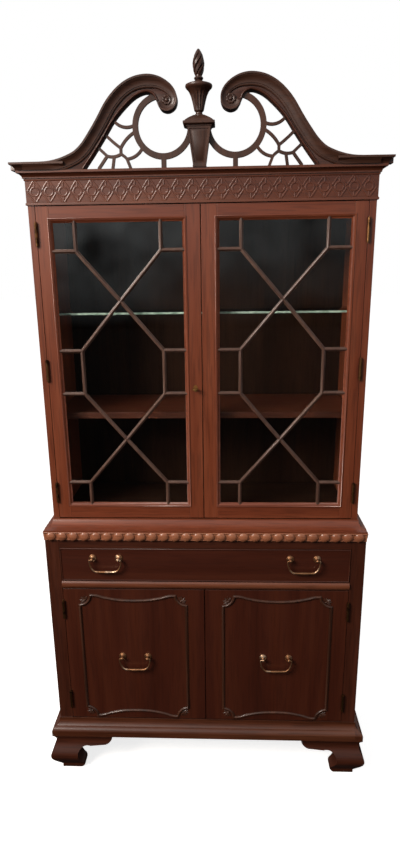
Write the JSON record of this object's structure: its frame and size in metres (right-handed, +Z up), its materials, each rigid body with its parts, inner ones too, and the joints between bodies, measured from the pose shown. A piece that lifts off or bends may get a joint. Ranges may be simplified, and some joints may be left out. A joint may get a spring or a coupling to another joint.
{
  "type": "china cabinet",
  "caption": "Tall china cabinet: glazed upper doors with lattice bars over a drawer and cupboard doors, swan-neck pediment with urn finial, ogee bracket feet.",
  "frame": {"origin": "on the floor, under the middle of the whole object's box", "axes": "+Z up, +X to the right of a person facing the doors, -Y towards that person"},
  "size_m": [1.026, 0.398, 2.138],
  "materials": {
    "mahogany": "satin lacquer",
    "figured_mahogany": "satin lacquer",
    "secondary_wood": "plain",
    "window_glass": "polished",
    "shelf_glass": "polished",
    "antique_brass": "antiqued",
    "plain_brass": "satin"
  },
  "bodies": {
    "cabinet": {"base_back": "secondary_wood", "base_bottom": "mahogany", "base_face_frame": "mahogany", "base_left_side": "mahogany", "base_moulding": "mahogany", "base_right_side": "mahogany", "base_top": "mahogany", "cornice": "mahogany", "cupboard_shelf": "mahogany", "drawer_guides": "secondary_wood", "dust_board": "secondary_wood", "finial": "mahogany", "frieze": "mahogany", "front_left_foot": "mahogany", "front_right_foot": "mahogany", "gadroon_moulding": "mahogany", "glass_shelf": "shelf_glass", "hinge_frame_leaves": "plain_brass", "left_fret": "mahogany", "left_swan_neck": "mahogany", "pediment_plinth": "mahogany", "rear_feet": "mahogany", "right_fret": "mahogany", "right_swan_neck": "mahogany", "shelf_pins": "plain_brass", "top_rail": "mahogany", "upper_back": "secondary_wood", "upper_bottom": "mahogany", "upper_left_side": "mahogany", "upper_right_side": "mahogany", "upper_top": "mahogany", "waist_moulding": "mahogany", "wood_shelf": "mahogany"},
    "left_glass_door": {"left_door_frame": "mahogany", "left_pane": "window_glass", "left_glazing_bars": "mahogany", "left_glass_door_hinges": "plain_brass", "door_lock": "plain_brass"},
    "right_glass_door": {"right_door_frame": "mahogany", "right_pane": "window_glass", "right_glazing_bars": "mahogany", "right_glass_door_hinges": "plain_brass"},
    "left_cupboard_door": {"left_cupboard_door": "figured_mahogany", "left_door_moulding": "mahogany", "left_cupboard_hinges": "plain_brass", "left_handle_posts": "antique_brass"},
    "right_cupboard_door": {"right_cupboard_door": "figured_mahogany", "right_door_moulding": "mahogany", "right_cupboard_hinges": "plain_brass", "right_handle_posts": "antique_brass"},
    "drawer": {"drawer_front": "figured_mahogany", "drawer_sides": "secondary_wood", "drawer_bottom": "secondary_wood", "drawer_handle_posts": "antique_brass"},
    "left_cupboard_bail": {"left_door_bail": "antique_brass"},
    "right_cupboard_bail": {"right_door_bail": "antique_brass"},
    "drawer_left_bail": {"drawer_left_bail": "antique_brass"},
    "drawer_right_bail": {"drawer_right_bail": "antique_brass"},
    "key": {"key": "plain_brass"},
    "lock_bolt": {"lock_bolt": "plain_brass"}
  },
  "joints": [
    {"name": "left_glass_door_swing", "type": "hinge", "parent": "cabinet", "child": "left_glass_door", "pos_m": [-0.4415, -0.1255, 1.34], "axis": [0, 0, -1], "range_deg": [0, 115]},
    {"name": "right_glass_door_swing", "type": "hinge", "parent": "cabinet", "child": "right_glass_door", "pos_m": [0.4415, -0.1255, 1.34], "axis": [0, 0, 1], "range_deg": [0, 115]},
    {"name": "left_cupboard_door_swing", "type": "hinge", "parent": "cabinet", "child": "left_cupboard_door", "pos_m": [-0.4375, -0.1705, 0.434], "axis": [0, 0, -1], "range_deg": [0, 115]},
    {"name": "right_cupboard_door_swing", "type": "hinge", "parent": "cabinet", "child": "right_cupboard_door", "pos_m": [0.4375, -0.1705, 0.434], "axis": [0, 0, 1], "range_deg": [0, 115]},
    {"name": "drawer_slide", "type": "slide", "parent": "cabinet", "child": "drawer", "axis": [0, -1, 0], "range_m": [0, 0.28]},
    {"name": "left_cupboard_bail_lift", "type": "hinge", "parent": "left_cupboard_door", "child": "left_cupboard_bail", "pos_m": [-0.222, -0.18, 0.432], "axis": [-1, 0, 0], "range_deg": [0, 85]},
    {"name": "right_cupboard_bail_lift", "type": "hinge", "parent": "right_cupboard_door", "child": "right_cupboard_bail", "pos_m": [0.222, -0.18, 0.432], "axis": [-1, 0, 0], "range_deg": [0, 85]},
    {"name": "drawer_left_bail_lift", "type": "hinge", "parent": "drawer", "child": "drawer_left_bail", "pos_m": [-0.298, -0.18, 0.775], "axis": [-1, 0, 0], "range_deg": [0, 85]},
    {"name": "drawer_right_bail_lift", "type": "hinge", "parent": "drawer", "child": "drawer_right_bail", "pos_m": [0.298, -0.18, 0.775], "axis": [-1, 0, 0], "range_deg": [0, 85]},
    {"name": "key_turn", "type": "hinge", "parent": "left_glass_door", "child": "key", "pos_m": [-0.02, -0.137, 1.287], "axis": [0, 1, 0], "range_deg": [0, 90]},
    {"name": "bolt_throw", "type": "slide", "parent": "left_glass_door", "child": "lock_bolt", "axis": [1, 0, 0], "range_m": [0, 0.006]}
  ],
  "couplings": [
    {"joint": "bolt_throw", "follows": "key_turn", "m_per_rad": 0.0038}
  ]
}
